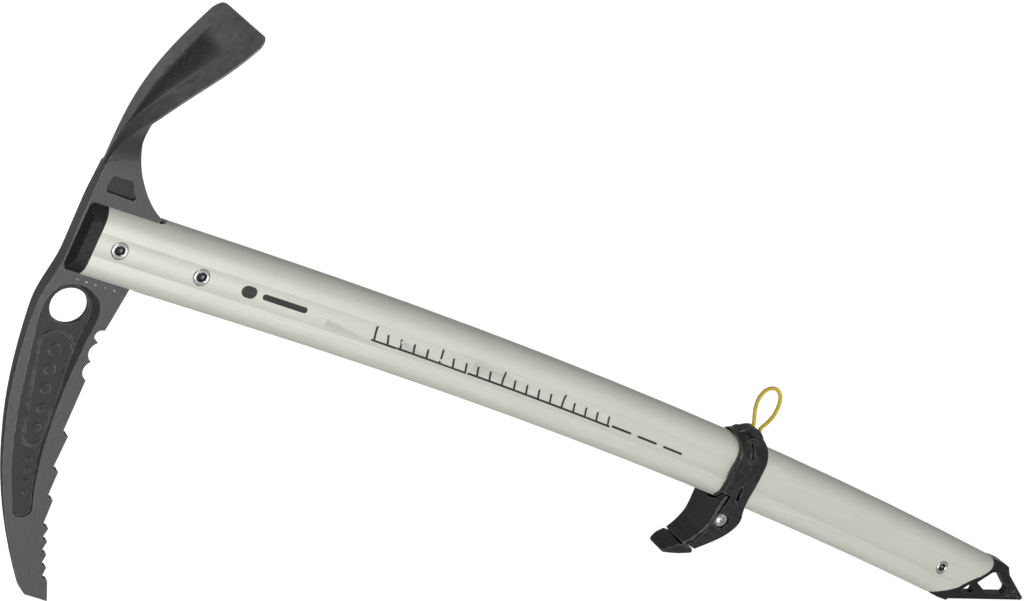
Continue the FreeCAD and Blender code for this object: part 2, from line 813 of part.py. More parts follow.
def collar():
    """Ring round the shaft with two cheeks that hold the hook, and a boss for the cord."""
    body = new_body()
    side_view = new_sketch(body, "XZ")
    outline(
        side_view,
        (19.2, 12.6),
        (19.2, -7.2),
        (17, -8.2),
        ("curve", (8, -9.9), (-5, -10.8), (-12, -11.4), (-18.4, -13.7)),
        ("curve", (-22, -14.1), (-26, -13), (-32.3, -9), (-41.7, 0.2)),
        (-41, 5.7),
        ("curve", (-35.5, 2.1), (-29.6, 0.2), (-24, 0.2)),
        (-10.5, -0.8),
        (-10.5, 4.8),
        ("curve", (-4, 5.1), (3, 5.8), (8, 6.7), (12.4, 7.9), (15.2, 9.6), (17, 12.6)),
    )
    pad_both(body, side_view, "2 * collar_half")
    for side in (1, -1):
        plan = new_sketch(body, "XY")
        collar_plan(plan, side)
        cut_through(body, plan)
    collar_crown(body)
    boss = new_sketch(body, "XZ")
    outline(
        boss,
        (14, 9),
        ("curve", (15.4, 10.6), (16.6, 9.9), (19, 7.4), (21, 4.4), (22.3, 1),
         (21.9, -2.6), (19.8, -6.2), (16.5, -8.6)),
        (14, -8.6),
    )
    pad_both(body, boss, "5.8")
    raised_details(body)
    bore = new_sketch(body, "XY")
    tube_outline(bore, -size("bore_gap"), waist=False)
    cut_through(body, bore)
    mouth_gap = new_sketch(body, "XZ")
    outline(mouth_gap, (-9, 20), (-9, -10.2), (-20, -10.2), (-24.5, -20), (-60, -20), (-60, 20))
    cut(body, mouth_gap, "lever_width + 0.2", SideType="Symmetric")
    pin = new_sketch(body, "XZ")
    circle(pin, "-pivot_reach", "-pivot_drop", "pivot_radius + fit_gap")
    cut_through(body, pin)
    for side in (1, -1):
        seat = new_sketch(body, "XZ", "%d * 9.2" % side)
        circle(seat, "-pivot_reach", "-pivot_drop", "screw_head_radius + 0.5")
        cut(body, seat, "5", Reversed=side > 0)
        dip = new_sketch(body, "XZ", "%d * 10.6" % side)
        slanted_slot(dip, *UPPER_SLOT, 2.5)
        cut(body, dip, "5", Reversed=side > 0)
        slots = new_sketch(body, "XZ", "%d * 6" % side)
        slanted_slot(slots, *UPPER_SLOT, 1.1)
        slanted_slot(slots, *LOWER_SLOT, 1.0)
        cut(body, slots, "8", Reversed=side > 0)
    cord_holes = new_sketch(body, "YZ")
    circle(cord_holes, "0", "1", "cord_radius + 0.1")
    circle(cord_holes, "0", "-4.4", "cord_radius + 0.1")
    cut(body, cord_holes, "30", Reversed=True)
    knot_room = new_sketch(body, "YZ")
    rectangle(knot_room, "-2.6", "-6.7", "2.6", "3.3")
    cut(body, knot_room, "18.6", Reversed=True)
    return body


def collar_plan(sketch, side):
    """What is cut away beside the collar: a round end about the shaft's edge, then long cheeks."""
    centre = (size("shaft_width") - size("shaft_thickness")) / 2
    radius = 11.3
    half = radius * math.sqrt(0.5)
    outline(
        sketch,
        (30, 0),
        (centre + radius, 0),
        ("arc", (centre + half, side * half), (centre, side * radius)),
        ("curve", (-6, side * 11.4), (-20, side * 10.9), (-43, side * 9.2)),
        (-60, side * 9.2),
        (-60, side * 20),
        (30, side * 20),
    )


def collar_crown(body):
    """Turns the ring's upper edge down to the outside, round the shaft's adze-side edge."""
    centre = (size("shaft_width") - size("shaft_thickness")) / 2
    crown = new_sketch(body, "XZ")
    outline(
        crown,
        (centre + 8.8, 12.4),
        (centre + 11.5, 5.6),
        (centre + 15, 5.6),
        (centre + 15, 16),
        (centre + 8.8, 16),
    )
    axis = crown.addGeometry(Part.LineSegment(Vector(centre, 0, 0), Vector(centre, 5, 0)), True)
    dimension(crown, "DistanceX", "(shaft_width - shaft_thickness) / 2", -1, 1, axis, 1)
    before = body.Shape.Volume
    feature(body, "Groove", crown, ReferenceAxis=(crown, ["Axis0"]), Angle=180, Midplane=True)
    if not body.Shape.Volume < before:
        raise ValueError("the collar's crown cuts nothing")


def raised_details(body):
    """A flat-topped pod round the upper slot and a raised lip below the screw, on both sides."""
    for side in (1, -1):
        pod = new_sketch(body, "XZ", "%d * 8" % side)
        slanted_slot(pod, *UPPER_SLOT, 3.5)
        pad(body, pod, "3.5", Reversed=side > 0)
        lip = new_sketch(body, "XZ", "%d * 10" % side)
        ring_piece(lip, (-size("pivot_reach"), -size("pivot_drop")), 4.9, 5.8, 270, 78)
        pad(body, lip, "1.3", Reversed=side > 0)


def slanted_slot(sketch, start, end, radius):
    """A slot with round ends between two points."""
    along = Vector(end[0] - start[0], end[1] - start[1], 0).normalize()
    out = Vector(-along.y, along.x, 0) * radius
    a = Vector(*start, 0)
    b = Vector(*end, 0)
    tip_a = a - along * radius
    tip_b = b + along * radius
    corners = [(p.x, p.y) for p in (a + out, b + out, tip_b, b - out, a - out, tip_a)]
    outline(
        sketch,
        corners[0],
        corners[1],
        ("arc", corners[2], corners[3]),
        corners[4],
        ("arc", corners[5], corners[0]),
    )


def liners():
    """Low-friction strips inside the collar that run on the shaft's round edges."""
    body = new_body(3)
    strips = new_sketch(body, "XY", "-7.5")
    centre = (size("shaft_width") - size("shaft_thickness")) / 2
    inner = size("shaft_thickness") / 2 + size("fit_gap")
    outer = inner + size("liner_height")
    for middle, spread in ((0, 26), (118, 20), (-118, 20)):
        where = centre if middle == 0 else -centre
        ring_piece(strips, (where, 0), inner, outer, middle, spread)
    pad(body, strips, "12")
    return body


def ring_piece(sketch, centre, inner, outer, middle, spread):
    """A piece of a ring about a point, to both sides of a middle angle."""
    def at(radius, angle):
        turn = math.radians(angle)
        return (centre[0] + radius * math.cos(turn), centre[1] + radius * math.sin(turn))
    outline(
        sketch,
        at(inner, middle - spread),
        at(outer, middle - spread),
        ("arc", at(outer, middle), at(outer, middle + spread)),
        at(inner, middle + spread),
        ("arc", at(inner, middle), at(inner, middle - spread)),
    )


REST = [(-11.6, 2.5), (-20, 2.4), (-29.5, 2.1), (-35.2, 4), (-41.2, 7.7)]
LEANS = [math.radians(angle) for angle in (0, 0, 8, 27, 33)]


def rest_line(depth):
    """Points of the finger rest's curve in side view, at a depth below its face."""
    return [
        (x - depth * math.sin(lean), z - depth * math.cos(lean)) for (x, z), lean in zip(REST, LEANS)
    ]


def lever():
    """Core of the hook between the cheeks; it turns on the bush and is forked for the spring."""
    body = new_body()
    side_view = new_sketch(body, "XZ")
    top = rest_line(size("pad_thickness") + 0.02)
    outline(
        side_view,
        top[0],
        ("curve", *top[1:]),
        (-41.9, 2.4),
        (-34, -5.4),
        (-28.4, -9.6),
        ("arc", (-24.2, -10.6), (-20.2, -9.4)),
        (-12, -8),
    )
    pad(body, side_view, "lever_width - 0.8", SideType="Symmetric")
    shaft_room(body)
    fork = new_sketch(body, "XZ")
    x = size("pivot_reach")
    z = -size("pivot_drop")
    outline(fork, (-x - 4.2, z), ("arc", (-x, z + 4.2), (-x + 4.2, z)), (-x + 4.2, -20), (-x - 4.2, -20))
    cut(body, fork, "5.2", SideType="Symmetric")
    bush_hole = new_sketch(body, "XZ")
    circle(bush_hole, "-pivot_reach", "-pivot_drop", "bush_radius + fit_gap")
    cut_through(body, bush_hole)
    socket = new_sketch(body, "XZ")
    rectangle(socket, "-43", "2.95", "-39.7", "4.55")
    cut(body, socket, "8.1", SideType="Symmetric")
    return body


def shaft_room(body):
    """Hollows the hook's inner end to the shaft's round edge, with room for the brake shoe."""
    room = new_sketch(body, "XY")
    circle(room, "(shaft_thickness - shaft_width) / 2", "0", "shaft_thickness / 2 + bore_gap + 0.7")
    cut_through(body, room)


def finger_pad():
    """Textured plate on the hook: as wide as the collar at the shaft and narrower at its end."""
    body = new_body()
    layer = new_sketch(body, "XZ")
    upper = rest_line(0)
    lower = rest_line(size("pad_thickness"))
    outline(layer, lower[0], ("curve", *lower[1:]), upper[-1], ("curve", *reversed(upper[:-1])))
    pad(body, layer, "2 * collar_half", SideType="Symmetric")
    for side in (1, -1):
        plan = new_sketch(body, "XY")
        outline(
            plan,
            (-11, side * 11.3),
            ("curve", (-20, side * 10.9), (-31, side * 9.7), (-43, side * 7.9)),
            (-43, side * 15),
            (-11, side * 15),
        )
        cut_through(body, plan)
    shaft_room(body)
    return body


def tip_cap():
    """Faceted nose on the end of the hook, held by a tongue in the hook's socket."""
    body = new_body()
    side_view = new_sketch(body, "XZ")
    outline(
        side_view,
        (-42.3, 8.6),
        ("curve", (-44.4, 11.1), (-46.2, 12.8), (-48, 14.1)),
        ("arc", (-49.2, 14.3), (-49.8, 13.2)),
        (-49.2, 10.6),
        (-47.4, 5.4),
        (-44.3, -0.7),
        (-42.3, 0.8),
    )
    pad(body, side_view, "lever_width + 1.2", SideType="Symmetric")
    for side in (1, -1):
        plan = new_sketch(body, "XY")
        outline(
            plan,
            (-40, side * 8.6),
            (-45.5, side * 7.6),
            (-52, side * 4.6),
            (-52, side * 12),
            (-40, side * 12),
        )
        cut_through(body, plan)
    tongue = new_sketch(body, "XZ")
    rectangle(tongue, "-43", "3", "-39.8", "4.5")
    pad(body, tongue, "8", SideType="Symmetric")
    return body


def brake_shoe():
    """Rubber shoe on the hook's inner end, hollowed to the shaft's edge."""
    body = new_body()
    shoe = new_sketch(body, "XY", "-8.8")
    centre = (size("shaft_width") - size("shaft_thickness")) / 2
    inner = size("shaft_thickness") / 2 + size("fit_gap")
    outer = size("shaft_thickness") / 2 + size("bore_gap") + 0.65
    ring_piece(shoe, (-centre, 0), inner, outer, 180, 38)
    pad(body, shoe, "3.6")
    return body


def turn_about_y(body, section):
    """Revolves a section of the XY plane once about the Y axis."""
    axis = section.addGeometry(Part.LineSegment(Vector(0, 0, 0), Vector(0, 5, 0)), True)
    section.addConstraint(Sketcher.Constraint("Coincident", axis, 1, -1, 1))
    feature(body, "Revolution", section, ReferenceAxis=(section, ["Axis0"]), Angle=360)
    return body


def turned(profile):
    """A piece turned about the pivot's axis; the profile's x is radius and y is along Y."""
    body = new_body()
    section = new_sketch(body, "XY")
    outline(section, *profile)
    return turn_about_y(body, section)


def pivot_screw():
    """Cross-recessed pan-head screw that carries the hook."""
    head_radius = size("screw_head_radius")
    shank = size("pivot_radius")
    body = turned([
        (0, -11.1),
        ("arc", (head_radius * 0.6, -10.8), (head_radius, -9.9)),
        (head_radius, -9.2),
        (shank, -9.2),
        (shank, 11.2),
        (0, 11.2),
    ])
    cross = new_sketch(body, "XZ", "11.2")
    arm = head_radius * 0.58
    half = 0.42
    outline(
        cross,
        (half, half), (arm, half), (arm, -half), (half, -half), (half, -arm), (-half, -arm),
        (-half, -half), (-arm, -half), (-arm, half), (-half, half), (-half, arm), (half, arm),
    )
    cut(body, cross, "1.2")
    return body


def pivot_nut():
    """Hexagon nut in the far cheek's seat."""
    body = new_body()
    hexagon = new_sketch(body, "XZ", "-9.2")
    corner = size("screw_head_radius") * 0.86
    turns = [math.radians(angle) for angle in range(0, 360, 60)]
    points = [(corner * math.cos(turn), corner * math.sin(turn)) for turn in turns]
    outline(hexagon, *points)
    outline_circle(hexagon, 0, 0, "pivot_radius + 0.01")
    pad(body, hexagon, "1.6", Reversed=True)
    return body


def pivot_bush():
    """Plain sleeve on the screw between the cheeks."""
    half = (size("lever_width") + 0.2) / 2
    inner = size("pivot_radius") + 0.01
    outer = size("bush_radius")
    return turned([(inner, -half), (outer, -half), (outer, half), (inner, half)])


def pivot_washers():
    """Thin washers between the hook and each cheek."""
    body = new_body(2)
    section = new_sketch(body, "XY")
    outer = size("bush_radius") + 1.6
    inner = size("bush_radius") + 0.02
    for side in (1, -1):
        near = side * (size("lever_width") / 2 - 0.3)
        far = side * (size("lever_width") / 2 + 0.1)
        outline(section, (inner, near), (outer, near), (outer, far), (inner, far))
    return turn_about_y(body, section)


def swept(points, radius, label):
    """A round wire or cord along a smooth path."""
    path = Part.BSplineCurve()
    path.interpolate([Vector(*point) for point in points])
    wire = Part.Wire([path.toShape()])
    start = path.value(path.FirstParameter)
    tangent = path.tangent(path.FirstParameter)[0]
    section = Part.Wire([Part.makeCircle(radius, start, tangent)])
    item = doc.addObject("Part::Feature", label)
    item.Shape = wire.makePipeShell([section], True, True)
    return item


def lever_spring():
    """Torsion spring round the bush, in the hook's fork."""
    coil = 3.5
    turns = 4
    steps = 12
    length = 3.8
    points = []
    for step in range(turns * steps + 1):
        angle = 2 * math.pi * step / steps
        along = -length / 2 + length * step / (turns * steps)
        points.append((coil * math.cos(angle), along, coil * math.sin(angle)))
    points += [(coil, length / 2, -2.2 * k - 1.2) for k in (0, 1)]
    return swept(points, 0.35, "spring")


def cord_loop():
    """The loop of cord outside the boss."""
    points = [
        (23.3, 0, 1), (29.5, 0, 4.6), (37, 0, 6.4), (42.4, 0, 3.2),
        (42, 0, -3), (36, 0, -6.6), (29.5, 0, -6.8), (23.3, 0, -4.4),
    ]
    return swept(points, size("cord_radius"), "loop")


def cord_tails():
    """The two ends of the cord inside the boss; they stop short of where the loop swings."""
    body = new_body(2)
    ends = new_sketch(body, "YZ", "18.5")
    circle(ends, "0", "1", "cord_radius")
    circle(ends, "0", "-4.4", "cord_radius")
    pad(body, ends, "3.85")
    return body


def cord_stopper():
    """Moulded bead behind the boss that both ends are set in."""
    body = new_body()
    bead = new_sketch(body, "YZ", "17")
    rectangle(bead, "-2.3", "-6.4", "2.3", "3")
    pad(body, bead, "1.5")
    return body


def at_pivot():
    """The slider's frame moved to the hook's axis."""
    return slider.multiply(Placement(Vector(-size("pivot_reach"), 0, -size("pivot_drop")), Rotation()))


def place(item, placement, label):
    """Keeps a plain shape feature, placed after its shape is made."""
    item.Placement = placement
    return keep(item, label)


tube = shaft()
shaft_cuts(tube)
keep(tube, "shaft")
keep(head(), "head")
keep(top_plug(-1), "top_plug_near")
keep(top_plug(1), "top_plug_far")
keep(tang_shim(-1), "tang_shim_near")
keep(tang_shim(1), "tang_shim_far")
keep(rivet(2), "head_rivets", shaft_frame(0))
keep(rivet(2, core=True), "head_rivet_cores", shaft_frame(0))
keep(spike(), "spike", spike_plane())
keep(spike_plug(), "spike_plug", spike_plane())
keep(rivet(1), "spike_rivet", spike_rivet_plane())
keep(rivet(1, core=True), "spike_rivet_core", spike_rivet_plane())

slider = shaft_frame(size("slider_depth"))
keep(collar(), "slider_collar", slider)
keep(liners(), "slider_liners", slider)
keep(lever(), "hook_lever", slider)
keep(finger_pad(), "finger_pad", slider)
keep(tip_cap(), "hook_tip_cap", slider)
keep(brake_shoe(), "brake_shoe", slider)
keep(pivot_screw(), "pivot_screw", at_pivot())
keep(pivot_nut(), "pivot_nut", at_pivot())
keep(pivot_bush(), "pivot_bush", at_pivot())
keep(pivot_washers(), "pivot_washers", at_pivot())
place(lever_spring(), at_pivot(), "lever_spring")
place(cord_loop(), slider, "cord_loop")
keep(cord_tails(), "cord_tails", slider)
keep(cord_stopper(), "cord_stopper", slider)


def check_and_write():
    """Stops on any failed object or bad shape, then writes one file for each sub-part."""
    doc.recompute()
    for item in doc.Objects:
        if "Invalid" in item.State or "Error" in item.State:
            raise ValueError("%s (%s) failed: %s" % (item.Name, item.Label, item.State))
    for part in PARTS:
        if part.Shape.isNull() or not part.Shape.isValid():
            raise ValueError("bad shape: " + part.Label)
    os.makedirs(FOLDER, exist_ok=True)
    for part in PARTS:
        part.Shape.exportStep(os.path.join(FOLDER, part.Label + ".step"))


check_and_write()
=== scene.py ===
"""Studio scene of a short ice axe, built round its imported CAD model.

Everything is in metres and in the CAD frame: Z up the straight top of the shaft, X to the adze side and
Y through the thickness, with the near side at negative Y and the origin in the middle of the karabiner hole.
"""

import json
import math

import bmesh
import bpy
from mathutils import Matrix, Vector
from mathutils.bvhtree import BVHTree


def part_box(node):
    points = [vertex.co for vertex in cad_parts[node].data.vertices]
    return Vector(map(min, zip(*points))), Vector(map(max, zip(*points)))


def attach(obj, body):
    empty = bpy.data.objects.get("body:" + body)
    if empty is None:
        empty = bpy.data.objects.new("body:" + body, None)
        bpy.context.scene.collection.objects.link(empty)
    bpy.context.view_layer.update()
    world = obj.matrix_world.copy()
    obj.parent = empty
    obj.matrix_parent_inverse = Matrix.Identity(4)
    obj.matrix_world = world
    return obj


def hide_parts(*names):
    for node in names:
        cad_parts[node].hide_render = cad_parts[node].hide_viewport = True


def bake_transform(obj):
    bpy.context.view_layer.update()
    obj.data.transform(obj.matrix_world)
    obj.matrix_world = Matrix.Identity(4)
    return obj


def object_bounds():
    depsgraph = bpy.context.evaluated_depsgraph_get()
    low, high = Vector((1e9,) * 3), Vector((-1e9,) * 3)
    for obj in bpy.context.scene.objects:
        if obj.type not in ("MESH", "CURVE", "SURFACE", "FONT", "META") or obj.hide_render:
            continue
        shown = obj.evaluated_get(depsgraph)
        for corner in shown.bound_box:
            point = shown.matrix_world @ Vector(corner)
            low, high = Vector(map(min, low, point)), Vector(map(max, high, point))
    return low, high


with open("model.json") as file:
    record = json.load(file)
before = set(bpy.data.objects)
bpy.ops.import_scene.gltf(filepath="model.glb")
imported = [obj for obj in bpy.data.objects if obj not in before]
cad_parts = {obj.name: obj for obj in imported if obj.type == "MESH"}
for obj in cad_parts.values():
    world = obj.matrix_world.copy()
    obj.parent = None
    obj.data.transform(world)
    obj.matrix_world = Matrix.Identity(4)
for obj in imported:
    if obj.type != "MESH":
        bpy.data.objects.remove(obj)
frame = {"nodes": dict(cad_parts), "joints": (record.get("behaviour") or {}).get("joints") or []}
cad_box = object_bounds()
nodes = frame["nodes"]
joints = {joint["name"]: joint for joint in frame["joints"]}
MM = 0.001
FULL_TURN = 2 * math.pi


# ---------------------------------------------------------------- material helpers


class Material:
    """A principled material and short ways to add texture nodes to it."""

    def __init__(self, name):
        self.data = bpy.data.materials.new(name)
        self.data.use_nodes = True
        self.tree = self.data.node_tree
        self.shader = self.tree.nodes["Principled BSDF"]
        self.coordinates = self.node("TexCoord").outputs["Object"]
        self.place = self.node("SeparateXYZ", Vector=self.coordinates).outputs

    def node(self, kind, **inputs):
        """A new node with its inputs fed by name, an underscore standing for a space."""
        item = self.tree.nodes.new("ShaderNode" + kind)
        for name, value in inputs.items():
            self.feed(item.inputs[name.replace("_", " ")], value)
        return item

    def feed(self, socket, value):
        if isinstance(value, bpy.types.NodeSocket):
            self.tree.links.new(value, socket)
        else:
            socket.default_value = value

    def arithmetic(self, operation, first, second=0.0):
        item = self.tree.nodes.new("ShaderNodeMath")
        item.operation = operation
        self.feed(item.inputs[0], first)
        self.feed(item.inputs[1], second)
        return item.outputs[0]

    def plus(self, first, second):
        return self.arithmetic("ADD", first, second)

    def minus(self, first, second):
        return self.arithmetic("SUBTRACT", first, second)

    def times(self, first, second):
        return self.arithmetic("MULTIPLY", first, second)

    def larger(self, first, second):
        return self.arithmetic("MAXIMUM", first, second)

    def above(self, first, second):
        return self.arithmetic("GREATER_THAN", first, second)

    def below(self, first, second):
        return self.arithmetic("LESS_THAN", first, second)

    def unsigned(self, value):
        return self.arithmetic("ABSOLUTE", value)

    def fade(self, value, start, end):
        """0 up to start, 1 from end on, and a straight change between; end may be the smaller one."""
        return self.node("MapRange", Value=value, From_Min=start, From_Max=end).outputs["Result"]

    def stretched(self, scale):
        """The object's coordinates scaled along each axis."""
        mapping = self.node("Mapping", Vector=self.coordinates)
        mapping.inputs["Scale"].default_value = scale
        return mapping.outputs["Vector"]

    def noise(self, grain, detail=2.0, roughness=0.5, stretch=(1, 1, 1)):
        """Smooth noise whose blotches are about one grain wide."""
        where = self.stretched(stretch)
        item = self.node("TexNoise", Vector=where, Scale=1 / grain, Detail=detail, Roughness=roughness)
        return item.outputs["Fac"]

    def ramp(self, value, *stops):
        """Colour ramp from (position, grey or colour) pairs."""
        item = self.node("ValToRGB", Fac=value)
        elements = item.color_ramp.elements
        while len(elements) < len(stops):
            elements.new(0.5)
        for element, (position, shade) in zip(elements, stops):
            element.position = position
            element.color = (*shade, 1) if isinstance(shade, tuple) else (shade, shade, shade, 1)
        return item.outputs["Color"]

    def mix(self, factor, first, second):
        """The first colour where the factor is 0 and the second where it is 1."""
        item = self.tree.nodes.new("ShaderNodeMix")
        item.data_type = "RGBA"
        for socket, value in ((item.inputs[0], factor), (item.inputs[6], first), (item.inputs[7], second)):
            self.feed(socket, (*value, 1) if isinstance(value, tuple) else value)
        return item.outputs[2]

    def bump(self, height, strength, distance, normal=None):
        item = self.node("Bump", Height=height, Strength=strength, Distance=distance)
        if normal is not None:
            self.feed(item.inputs["Normal"], normal)
        return item.outputs["Normal"]

    def edge_wear_and_highlight_mask(self, radius, patches):
        """1 on the sharp edges and 0 elsewhere, broken up by patches. Callers paint these edges paler, both
        as wear and as painted edge highlights.
        """
        geometry = self.node("NewGeometry")
        rounded = self.node("Bevel", Radius=radius)
        rounded.samples = 4
        across = self.tree.nodes.new("ShaderNodeVectorMath")
        across.operation = "DOT_PRODUCT"
        self.feed(across.inputs[0], geometry.outputs["Normal"])
        self.feed(across.inputs[1], rounded.outputs["Normal"])
        turn = self.minus(1.0, across.outputs["Value"])
        edge = self.ramp(turn, (0.01, 0.0), (0.12, 1.0))
        return self.times(edge, self.ramp(patches, (0.35, 0.0), (0.6, 1.0)))

    def facing_y(self):
        """1 on faces that look along Y, to either side."""
        normal = self.node("NewGeometry").outputs["True Normal"]
        share = self.node("SeparateXYZ", Vector=normal).outputs["Y"]
        return self.ramp(self.unsigned(share), (0.9, 0.0), (0.96, 1.0))

    def finish(self, **inputs):
        """Feeds the shader and gives back the finished material."""
        for name, value in inputs.items():
            socket = self.shader.inputs[name.replace("_", " ")]
            self.feed(socket, (*value, 1) if isinstance(value, tuple) else value)
        return self.data


def paint(material, *names):
    """Gives CAD nodes one material."""
    for name in names:
        slots = nodes[name].data.materials
        slots.clear()
        slots.append(material)


# ---------------------------------------------------------------- materials


def satin_aluminium():
    """Anodised tube: fine marks along it, faint blotches and a few long scratches."""
    item = Material("satin_aluminium")
    dull = (0.545, 0.55, 0.485)
    pale = (0.60, 0.605, 0.54)
    marked = (0.70, 0.70, 0.64)
    scratched = (0.76, 0.76, 0.72)
    drawn = item.noise(0.5 * MM, 3, 0.6, stretch=(1, 1, 0.012))
    blotch = item.noise(26 * MM, 4, 0.6)
    scratch = item.ramp(item.noise(1.4 * MM, 2, 0.5, stretch=(1, 1, 0.02)), (0.66, 0.0), (0.7, 1.0))
    tone = item.mix(blotch, dull, pale)
    tone = item.mix(item.times(item.minus(drawn, 0.5), 0.5), tone, marked)
    tone = item.mix(item.times(scratch, 0.25), tone, scratched)
    rough = item.ramp(drawn, (0.2, 0.44), (0.8, 0.58))
    return item.finish(
        Base_Color=tone, Metallic=0.3, Roughness=rough, Normal=item.bump(drawn, 0.25, 0.02 * MM),
    )


# Where the head's finish changes, including where the adze is painted paler, partly as painted light on its
# rims. X runs from the pick's tip to the adze's end, and a pair of places is a gradual change.
SOLID_TIP_X = -94 * MM              # the pick has no recess beyond this
WEB_X = 40 * MM                     # the web and its recess begin here
ADZE_ROOT_X = (67 * MM, 58 * MM)    # the cheeks' ground finish ends here
DISH_START_X = 75 * MM
DISH_WIDENING = 0.29                # growth of the dish's half width along X
DISH_RIM = (-1 * MM, 2 * MM)        # the rim, counted outwards from the dish
ADZE_RUB_AND_RIM_LIGHT_X = (72 * MM, 98 * MM)
ADZE_END_X = (117 * MM, 121 * MM)
RECESS_HALF = 1.85 * MM             # faces nearer to the mid-plane than this are recess floors
WEB_RECESS_EXTRA = 0.2 * MM


def adze_rub_and_rim_light(item):
    """How far the coat is painted pale, partly as wear and partly as painted light on the rims: on the
    adze's flat end and its rim, not in its dish.
    """
    along = item.place["X"]
    dish_half = item.times(item.minus(along, DISH_START_X), DISH_WIDENING)
    beside = item.minus(item.unsigned(item.place["Y"]), dish_half)
    rim = item.fade(beside, *DISH_RIM)
    end = item.fade(along, *ADZE_END_X)
    on_adze = item.fade(along, *ADZE_RUB_AND_RIM_LIGHT_X)
    patches = item.ramp(item.noise(5 * MM, 4, 0.6), (0.3, 0.45), (0.7, 1.0))
    return item.times(item.times(item.larger(rim, end), on_adze), patches)


def recess_floor(item):
    """1 on the sunk floors of the pick and the web, 0 on the cheeks around them and on the solid tip."""
    in_web = item.above(item.place["X"], WEB_X)
    floor = item.plus(RECESS_HALF, item.times(in_web, WEB_RECESS_EXTRA))
    low = item.below(item.unsigned(item.place["Y"]), floor)
    behind_tip = item.above(item.place["X"], SOLID_TIP_X)
    return item.times(item.times(low, behind_tip), item.facing_y())


def black_steel():
    """Forged steel with a black coat: ground cheeks, rough recesses, bright worn edges that also carry
    painted edge highlights.
    """
    item = Material("black_steel")
    recess = recess_floor(item)
    cheek = item.times(item.facing_y(), item.minus(1.0, recess))
    cheek = item.times(cheek, item.fade(item.place["X"], *ADZE_ROOT_X))
    grain = item.noise(0.45 * MM, 5, 0.7)
    cast = item.noise(1.3 * MM, 4, 0.65)
    ground = item.noise(0.35 * MM, 2, 0.5, stretch=(0.15, 1, 1))
    cheek_tone = item.mix(ground, (0.044, 0.045, 0.046), (0.076, 0.077, 0.078))
    coat_tone = item.mix(item.noise(9 * MM, 3, 0.6), (0.024, 0.024, 0.025), (0.040, 0.040, 0.041))
    # Painted pale on the adze's rims and end: wear, and painted light on the rims.
    rubbed_and_lit = (0.17, 0.17, 0.171)
    coat_tone = item.mix(adze_rub_and_rim_light(item), coat_tone, rubbed_and_lit)
    deep_black = (0.011, 0.011, 0.0115)
    coat_tone = item.mix(recess, coat_tone, deep_black)
    tone = item.mix(cheek, coat_tone, cheek_tone)
    # Worn edges, painted paler as bare steel; they also carry painted edge highlights.
    edge_wear_and_highlight = item.edge_wear_and_highlight_mask(0.6 * MM, item.noise(3 * MM, 3, 0.6))
    bare_steel_and_highlight = (0.34, 0.34, 0.33)
    tone = item.mix(item.times(edge_wear_and_highlight, 0.5), tone, bare_steel_and_highlight)
    coat_rough = item.ramp(grain, (0.3, 0.38), (0.7, 0.6))
    rough = item.mix(cheek, coat_rough, item.ramp(ground, (0.3, 0.32), (0.7, 0.46)))
    height = item.mix(recess, item.times(ground, 0.3), cast)
    return item.finish(
        Base_Color=tone, Metallic=item.times(edge_wear_and_highlight, 0.7), Roughness=rough, Specular_IOR_Level=0.35,
        Normal=item.bump(height, 0.55, 0.14 * MM),
    )


def spike_steel():
    """The spike's black steel, scuffed bright towards its point, with worn edges that also carry painted
    edge highlights.
    """
    item = Material("spike_steel")
    point_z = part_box("spike")[0].z
    scuffed_length = 22 * MM
    near_point = item.fade(item.place["Z"], point_z + scuffed_length, point_z)
    grain = item.noise(0.5 * MM, 5, 0.7)
    scuff = item.ramp(item.noise(1.2 * MM, 5, 0.7, stretch=(1, 1, 0.3)), (0.52, 0.0), (0.64, 1.0))
    bright = item.times(scuff, near_point)
    # Worn edges painted paler, which also carry painted edge highlights.
    edge_wear_and_highlight = item.edge_wear_and_highlight_mask(0.4 * MM, item.noise(2.5 * MM, 3, 0.6))
    bright = item.larger(item.times(bright, 0.45), item.times(edge_wear_and_highlight, 0.35))
    tone = item.mix(bright, (0.007, 0.007, 0.0075), (0.3, 0.3, 0.29))
    return item.finish(
        Base_Color=tone, Metallic=item.times(bright, 0.8), Specular_IOR_Level=0.3,
        Roughness=item.ramp(grain, (0.3, 0.3), (0.7, 0.5)), Normal=item.bump(grain, 0.35, 0.08 * MM),
    )


def moulded(name, dark, light, smooth, rough, grain_size, depth, edge_wear_and_highlight_amount):
    """Moulded plastic with a fine grain, cloudy tone and paler edges, painted as wear and as edge
    highlights.
    """
    item = Material(name)
    grain = item.noise(grain_size, 5, 0.75)
    cloud = item.noise(6 * grain_size, 5, 0.7)
    tone = item.ramp(cloud, (0.38, dark), (0.66, light))
    # Edges painted paler, as wear and as painted edge highlights.
    edge_wear_and_highlight = item.edge_wear_and_highlight_mask(0.8 * MM, item.noise(2.2 * MM, 3, 0.6))
    rubbed_and_lit = (0.19, 0.19, 0.195)
    tone = item.mix(item.times(edge_wear_and_highlight, edge_wear_and_highlight_amount), tone, rubbed_and_lit)
    blend = item.plus(item.times(grain, 0.5), item.times(cloud, 0.5))
    return item.finish(
        Base_Color=tone, Roughness=item.ramp(blend, (0.35, smooth), (0.65, rough)), Specular_IOR_Level=0.4,
        Normal=item.bump(grain, 0.5, depth),
    )


